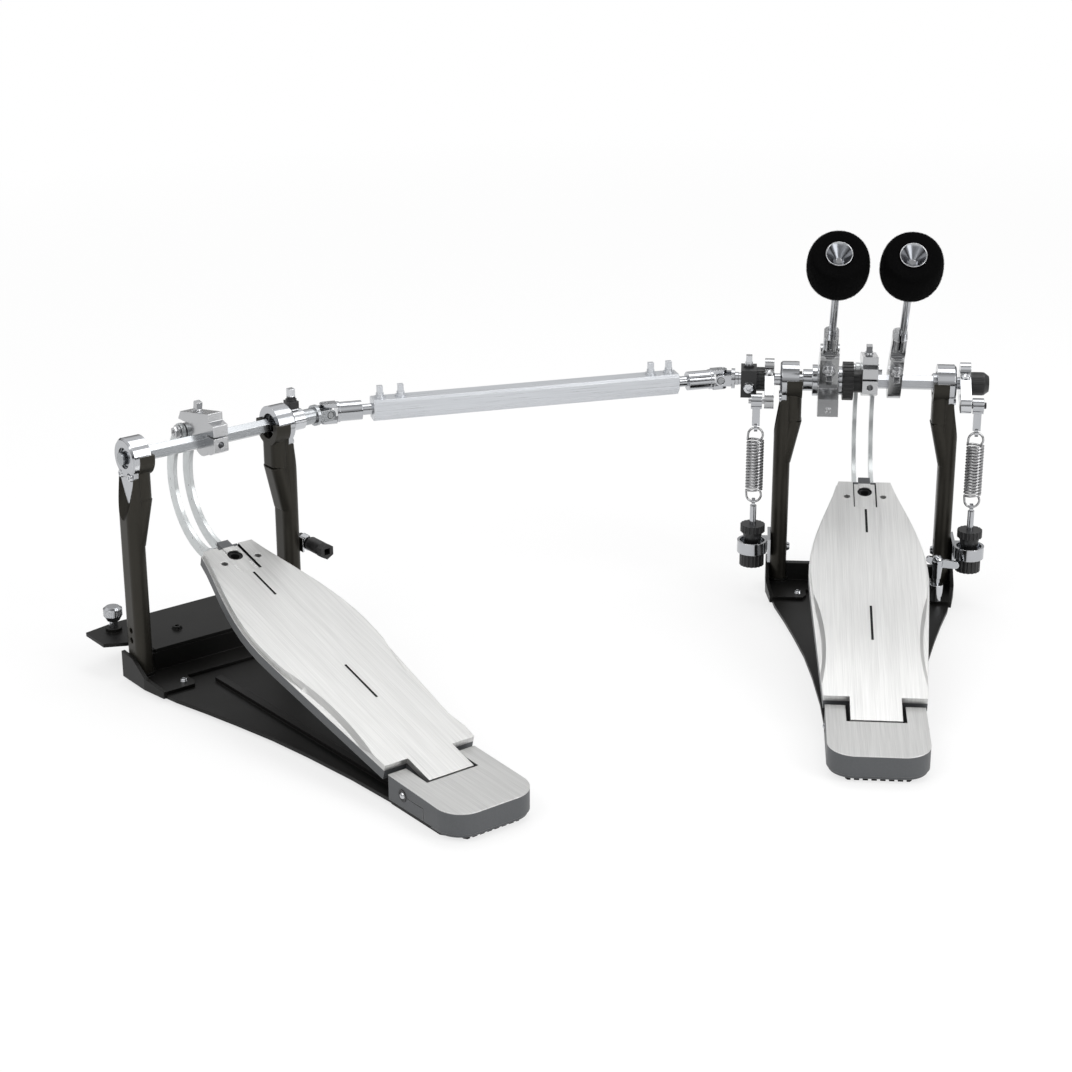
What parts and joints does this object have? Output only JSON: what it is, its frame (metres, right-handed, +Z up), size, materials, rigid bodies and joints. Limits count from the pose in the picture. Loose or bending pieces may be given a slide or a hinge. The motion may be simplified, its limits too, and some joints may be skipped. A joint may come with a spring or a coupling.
{
  "type": "double bass drum pedal",
  "caption": "Twin bass drum pedal: two direct-drive footboards joined by a telescopic linkage with universal joints, swinging felt beaters on a shared axle.",
  "frame": {"origin": "on the floor under the middle of the main pedal's rocker shaft", "axes": "+X to the player's right along the main rocker shaft, +Y toward the drum, +Z up"},
  "size_m": [0.717, 0.5333, 0.3358],
  "materials": {
    "black_paint": "satin",
    "post_paint": "satin",
    "rubber": "matte",
    "chrome": "polished",
    "steel": "ground",
    "board": "brushed",
    "grey_casting": "satin",
    "light_bar": "satin",
    "black_plastic": "matte",
    "felt": "felt",
    "spring_steel": "drawn wire"
  },
  "bodies": {
    "main_frame": {"main_base_plate": "black_paint", "main_toe_frame": "black_paint", "main_rubber_pads": "rubber", "main_left_post": "post_paint", "main_right_post": "post_paint", "main_housings": "chrome", "main_bearings": "steel", "main_fasteners": "chrome", "main_heel_block": "board", "left_spring_anchor": "chrome", "right_spring_anchor": "chrome"},
    "main_pedal": {"main_footboard": "board", "main_link_foot": "grey_casting"},
    "main_link": {"main_link_bars": "light_bar"},
    "main_rocker": {"main_shaft": "steel", "main_cam": "chrome", "shaft_collar": "black_plastic", "right_beater_holder": "chrome", "right_spring_arm": "chrome"},
    "right_beater": {"right_beater_rod": "chrome", "right_beater_head": "felt"},
    "right_hook": {"right_spring_hook": "chrome", "right_spring": "spring_steel"},
    "right_nuts": {"right_spring_nuts": "black_plastic"},
    "left_rocker": {"left_drive_sleeve": "chrome", "left_beater_holder": "chrome", "left_spring_arm": "chrome", "left_drive_clamp": "black_plastic", "left_drive_yoke": "chrome"},
    "left_beater": {"left_beater_rod": "chrome", "left_beater_head": "felt"},
    "left_hook": {"left_spring_hook": "chrome", "left_spring": "spring_steel"},
    "left_nuts": {"left_spring_nuts": "black_plastic"},
    "hoop_lever": {"hoop_clamp_lever": "steel"},
    "wing_bolt": {"hoop_wing_bolt": "chrome"},
    "main_cross": {"main_joint_cross": "steel"},
    "linkage": {"main_side_rod": "chrome", "linkage_channel": "light_bar"},
    "second_frame": {"second_base_plate": "black_paint", "second_toe_frame": "black_paint", "second_rubber_pads": "rubber", "second_left_post": "post_paint", "second_right_post": "post_paint", "second_housings": "chrome", "second_bearings": "steel", "second_fasteners": "chrome", "second_heel_block": "board", "second_front_plate": "black_paint"},
    "second_pedal": {"second_footboard": "board", "second_link_foot": "grey_casting"},
    "second_link": {"second_link_bars": "light_bar"},
    "second_rocker": {"second_shaft": "steel", "second_cam": "chrome", "second_drive_clamp": "black_plastic"},
    "second_cross": {"second_joint_cross": "steel"},
    "second_rod": {"second_side_rod": "chrome"},
    "left_spike": {"left_spike_bolt": "chrome"},
    "right_spike": {"right_spike_bolt": "chrome"},
    "tool": {"drum_key": "black_plastic"}
  },
  "joints": [
    {"name": "main_footboard_hinge", "type": "hinge", "parent": "main_frame", "child": "main_pedal", "pos_m": [0, -0.311, 0.0156], "axis": [1, 0, 0], "range_deg": [-4.8, 0], "stiffness_Nm_per_rad": 40, "springref_deg": 4.58},
    {"name": "main_link_hinge", "type": "hinge", "parent": "main_pedal", "child": "main_link", "pos_m": [0, -0.00944, 0.09297], "axis": [1, 0, 0], "range_deg": [-0.5, 12.69]},
    {"name": "main_shaft_spin", "type": "hinge", "parent": "main_frame", "child": "main_rocker", "pos_m": [0, 0, 0.185], "axis": [1, 0, 0], "range_deg": [-46.9, 0.5]},
    {"name": "right_beater_slide", "type": "slide", "parent": "main_rocker", "child": "right_beater", "axis": [0, -0.6428, 0.766], "range_m": [-0.007, 0.02]},
    {"name": "right_hook_hinge", "type": "hinge", "parent": "main_rocker", "child": "right_hook", "pos_m": [0.089, -0.025, 0.174], "axis": [1, 0, 0], "range_deg": [-0.5, 46.9], "deforming": ["right_spring"]},
    {"name": "right_nuts_spin", "type": "hinge", "parent": "main_frame", "child": "right_nuts", "pos_m": [0.089, -0.025, 0.05], "axis": [0, 0, 1], "continuous": true},
    {"name": "second_pedal_distance", "type": "slide", "parent": "main_frame", "child": "second_frame", "axis": [-0.9347, -0.3554, 0], "range_m": [-0.008, 0.03]},
    {"name": "second_footboard_hinge", "type": "hinge", "parent": "second_frame", "child": "second_pedal", "pos_m": [-0.30279, -0.42114, 0.0156], "axis": [0.7355, 0.6775, 0], "range_deg": [-4.8, 0], "stiffness_Nm_per_rad": 40, "springref_deg": 4.58},
    {"name": "second_link_hinge", "type": "hinge", "parent": "second_pedal", "child": "second_link", "pos_m": [-0.50711, -0.19934, 0.09297], "axis": [0.7355, 0.6775, 0], "range_deg": [-0.5, 12.69]},
    {"name": "second_shaft_spin", "type": "hinge", "parent": "second_frame", "child": "second_rocker", "pos_m": [-0.5135, -0.1924, 0.185], "axis": [0.7355, 0.6775, 0], "range_deg": [-46.9, 0.5]},
    {"name": "second_cross_tilt", "type": "hinge", "parent": "second_rocker", "child": "second_cross", "pos_m": [-0.4337, -0.11889, 0.185], "axis": [-0.6775, 0.7355, 0], "range_deg": [-0.5, 17.1]},
    {"name": "second_rod_spin", "type": "hinge", "parent": "second_frame", "child": "second_rod", "pos_m": [-0.4337, -0.11889, 0.185], "axis": [0.9347, 0.3554, 0], "range_deg": [-47.9, 0.5]},
    {"name": "linkage_spin", "type": "hinge", "parent": "main_frame", "child": "linkage", "pos_m": [-0.121, 0, 0.185], "axis": [0.9347, 0.3554, 0], "range_deg": [-47.9, 0.5]},
    {"name": "left_rocker_spin", "type": "hinge", "parent": "main_frame", "child": "left_rocker", "pos_m": [-0.06, 0, 0.185], "axis": [1, 0, 0], "range_deg": [-46.9, 0.5]},
    {"name": "main_cross_tilt", "type": "hinge", "parent": "left_rocker", "child": "main_cross", "pos_m": [-0.121, 0, 0.185], "axis": [0, 1, 0], "range_deg": [-16.3, 0.5]},
    {"name": "left_beater_slide", "type": "slide", "parent": "left_rocker", "child": "left_beater", "axis": [0, -0.6428, 0.766], "range_m": [-0.007, 0.02]},
    {"name": "left_hook_hinge", "type": "hinge", "parent": "left_rocker", "child": "left_hook", "pos_m": [-0.0913, -0.025, 0.174], "axis": [1, 0, 0], "range_deg": [-0.5, 46.9], "deforming": ["left_spring"]},
    {"name": "left_nuts_spin", "type": "hinge", "parent": "main_frame", "child": "left_nuts", "pos_m": [-0.0913, -0.025, 0.05], "axis": [0, 0, 1], "continuous": true},
    {"name": "hoop_lever_hinge", "type": "hinge", "parent": "main_frame", "child": "hoop_lever", "pos_m": [0, -0.018, 0.014], "axis": [1, 0, 0], "range_deg": [-2, 6]},
    {"name": "wing_bolt_spin", "type": "hinge", "parent": "main_frame", "child": "wing_bolt", "pos_m": [0.0624, -0.042, 0.03], "axis": [0, 0, 1], "continuous": true},
    {"name": "left_spike_spin", "type": "hinge", "parent": "second_frame", "child": "left_spike", "pos_m": [-0.59456, -0.20181, 0.03], "axis": [0, 0, 1], "continuous": true},
    {"name": "right_spike_spin", "type": "hinge", "parent": "second_frame", "child": "right_spike", "pos_m": [-0.49748, -0.11238, 0.03], "axis": [0, 0, 1], "continuous": true},
    {"name": "tool_slide", "type": "slide", "parent": "second_frame", "child": "tool", "axis": [0.6775, -0.7355, 0], "range_m": [0, 0.03]}
  ],
  "couplings": [
    {"joint": "main_link_hinge", "follows": "main_footboard_hinge", "ratio": -2.54},
    {"joint": "main_shaft_spin", "follows": "main_footboard_hinge", "ratio": 9.57},
    {"joint": "right_hook_hinge", "follows": "main_footboard_hinge", "ratio": -9.57},
    {"joint": "second_link_hinge", "follows": "second_footboard_hinge", "ratio": -2.54},
    {"joint": "second_shaft_spin", "follows": "second_footboard_hinge", "ratio": 9.57},
    {"joint": "second_cross_tilt", "follows": "second_footboard_hinge", "ratio": -3.3459},
    {"joint": "second_rod_spin", "follows": "second_footboard_hinge", "ratio": 9.7135},
    {"joint": "linkage_spin", "follows": "second_footboard_hinge", "ratio": 9.7135},
    {"joint": "left_rocker_spin", "follows": "second_footboard_hinge", "ratio": 9.57},
    {"joint": "main_cross_tilt", "follows": "second_footboard_hinge", "ratio": 3.1834},
    {"joint": "left_hook_hinge", "follows": "second_footboard_hinge", "ratio": -9.57}
  ]
}
